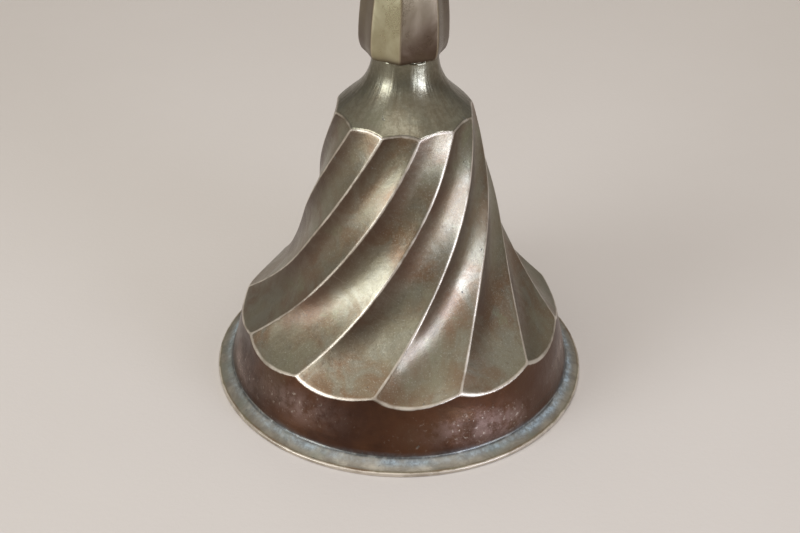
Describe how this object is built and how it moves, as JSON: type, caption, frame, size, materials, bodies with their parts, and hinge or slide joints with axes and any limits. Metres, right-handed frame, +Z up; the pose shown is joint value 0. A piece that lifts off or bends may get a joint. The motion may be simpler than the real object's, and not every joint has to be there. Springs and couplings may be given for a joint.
{
  "type": "sanctus bell",
  "caption": "Brass hand bell that stands on its rim, with twisted flutes on its waist, a faceted handle and a clapper that swings inside on a link.",
  "frame": {"origin": "centre of the rim's flat underside, on the bell's axis", "axes": "+Z up the axis from mouth to handle; +Y and -Y are the clapper's main swing"},
  "size_m": [0.09, 0.09, 0.16],
  "materials": {
    "patinated_brass": "olive-brown patina, worn bright on ridges and lip",
    "satin_brass": "handled satin",
    "zinc_steel": "dull",
    "black_iron": "forged, dark",
    "clapper_brass": "dull, worn where it strikes",
    "washer_leather": "oiled"
  },
  "bodies": {
    "bell": {"bell_shell": "patinated_brass", "handle_grip": "satin_brass", "finial_knob": "satin_brass", "tie_rod": "zinc_steel", "leather_washer": "washer_leather", "crown_washer": "zinc_steel", "crown_nut": "zinc_steel", "clapper_staple": "black_iron"},
    "link": {"hanger_link": "zinc_steel"},
    "clapper": {"clapper_stem": "black_iron", "clapper_ball": "clapper_brass", "ball_rove": "zinc_steel"}
  },
  "joints": [
    {"name": "clapper_swing", "type": "hinge", "parent": "bell", "child": "link", "pos_m": [0, 0, 0.0501], "axis": [1, 0, 0], "range_deg": [-33.7, 33.7]},
    {"name": "clapper_tilt", "type": "hinge", "parent": "link", "child": "clapper", "pos_m": [0, 0, 0.0431], "axis": [0, 1, 0], "range_deg": [-8, 8]}
  ]
}
